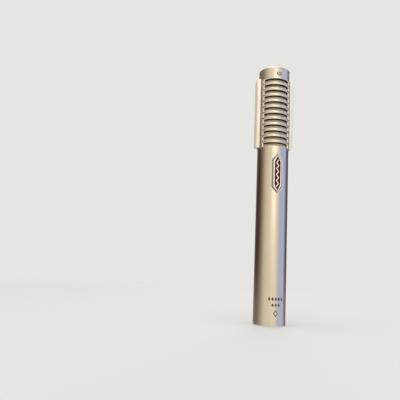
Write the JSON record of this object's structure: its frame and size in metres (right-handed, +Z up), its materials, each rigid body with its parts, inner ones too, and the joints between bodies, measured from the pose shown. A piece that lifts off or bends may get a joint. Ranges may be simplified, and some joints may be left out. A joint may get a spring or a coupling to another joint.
{
  "type": "ribbon microphone",
  "caption": "Slim upright cylindrical side-address ribbon microphone in satin nickel, with slotted windows front and rear, magnet housings at both sides, a red badge and a recessed connector.",
  "frame": {"origin": "centre of the bottom rim, where the microphone stands", "axes": "+Z up the body to the closed top, -Y the front window and badge, +X and -X the two magnet housings"},
  "size_m": [0.031, 0.0257, 0.206],
  "materials": {
    "satin_nickel": "satin bead-blasted nickel plate",
    "housing_nickel": "satin nickel plate",
    "screw_steel": "plain nickel-plated screw",
    "wire_mesh": "fine woven wire cloth",
    "neodymium": "nickel-plated magnet",
    "dark_iron": "soft iron, dark",
    "shield_can": "drawn shielding alloy",
    "copper_wire": "enamelled copper wire",
    "brass": "machined brass",
    "gold_contact": "gold-plated contact",
    "black_insulator": "moulded black insulator",
    "rubber": "soft mount rubber",
    "circuit_board": "glass-fibre board, green mask",
    "capacitor_can": "sleeved capacitor",
    "capacitor_case": "moulded film capacitor",
    "connector_metal": "nickel-plated connector shell",
    "ribbon_foil": "bare aluminium foil, pleated",
    "badge_silver": "polished badge rim",
    "badge_red": "dark red enamel",
    "lead_white": "wire insulation",
    "lead_red": "wire insulation"
  },
  "bodies": {
    "housing": {"badge_bezel": "badge_silver", "badge_enamel": "badge_red", "bass_cut_switch_body": "shield_can", "board_bracket_lower": "black_insulator", "board_bracket_upper": "black_insulator", "body_tube": "satin_nickel", "cap_screw_front": "screw_steel", "cap_screw_left": "screw_steel", "cap_screw_rear": "screw_steel", "cap_screw_right": "screw_steel", "capacitor_electrolytic": "capacitor_can", "capacitor_film": "capacitor_case", "circuit_board": "circuit_board", "clamp_bar_lower": "brass", "clamp_bar_upper": "brass", "clamp_base_lower": "black_insulator", "clamp_base_upper": "black_insulator", "clamp_screw_lower_left": "brass", "clamp_screw_lower_right": "brass", "clamp_screw_upper_left": "brass", "clamp_screw_upper_right": "brass", "connector_insert": "black_insulator", "connector_lead_1": "lead_white", "connector_lead_2": "lead_red", "connector_lead_3": "lead_red", "connector_screw": "screw_steel", "connector_shell": "connector_metal", "contact_pin_1": "gold_contact", "contact_pin_2": "gold_contact", "contact_pin_3": "gold_contact", "input_transistor_pair": "black_insulator", "isolator_lower": "rubber", "isolator_upper": "rubber", "magnet_housing_left": "housing_nickel", "magnet_housing_right": "housing_nickel", "magnet_left": "neodymium", "magnet_right": "neodymium", "motor_plate_lower": "black_insulator", "motor_plate_upper": "black_insulator", "pad_switch_body": "shield_can", "pole_piece_left": "dark_iron", "pole_piece_right": "dark_iron", "ribbon_lead_lower": "lead_white", "ribbon_lead_upper": "lead_white", "screen_front": "wire_mesh", "screen_rear": "wire_mesh", "top_cap": "satin_nickel", "transformer_bolt": "screw_steel", "transformer_bracket": "dark_iron", "transformer_can": "shield_can", "transformer_core": "dark_iron", "transformer_lead_left": "lead_white", "transformer_lead_right": "lead_red", "winding_primary": "copper_wire", "winding_secondary": "copper_wire"},
    "pad_switch": {"pad_switch_button": "black_insulator"},
    "bass_cut_switch": {"bass_cut_switch_button": "black_insulator"},
    "ribbon": {"ribbon": "ribbon_foil"}
  },
  "joints": [
    {"name": "pad_switch_slide", "type": "slide", "parent": "housing", "child": "pad_switch", "axis": [0, 0, 1], "range_m": [0, 0.0024]},
    {"name": "bass_cut_switch_slide", "type": "slide", "parent": "housing", "child": "bass_cut_switch", "axis": [0, 0, 1], "range_m": [0, 0.0024]},
    {"name": "ribbon_flex", "type": "slide", "parent": "housing", "child": "ribbon", "axis": [0, -1, 0], "range_m": [-0.00025, 0.00025], "stiffness_N_per_m": 12}
  ]
}
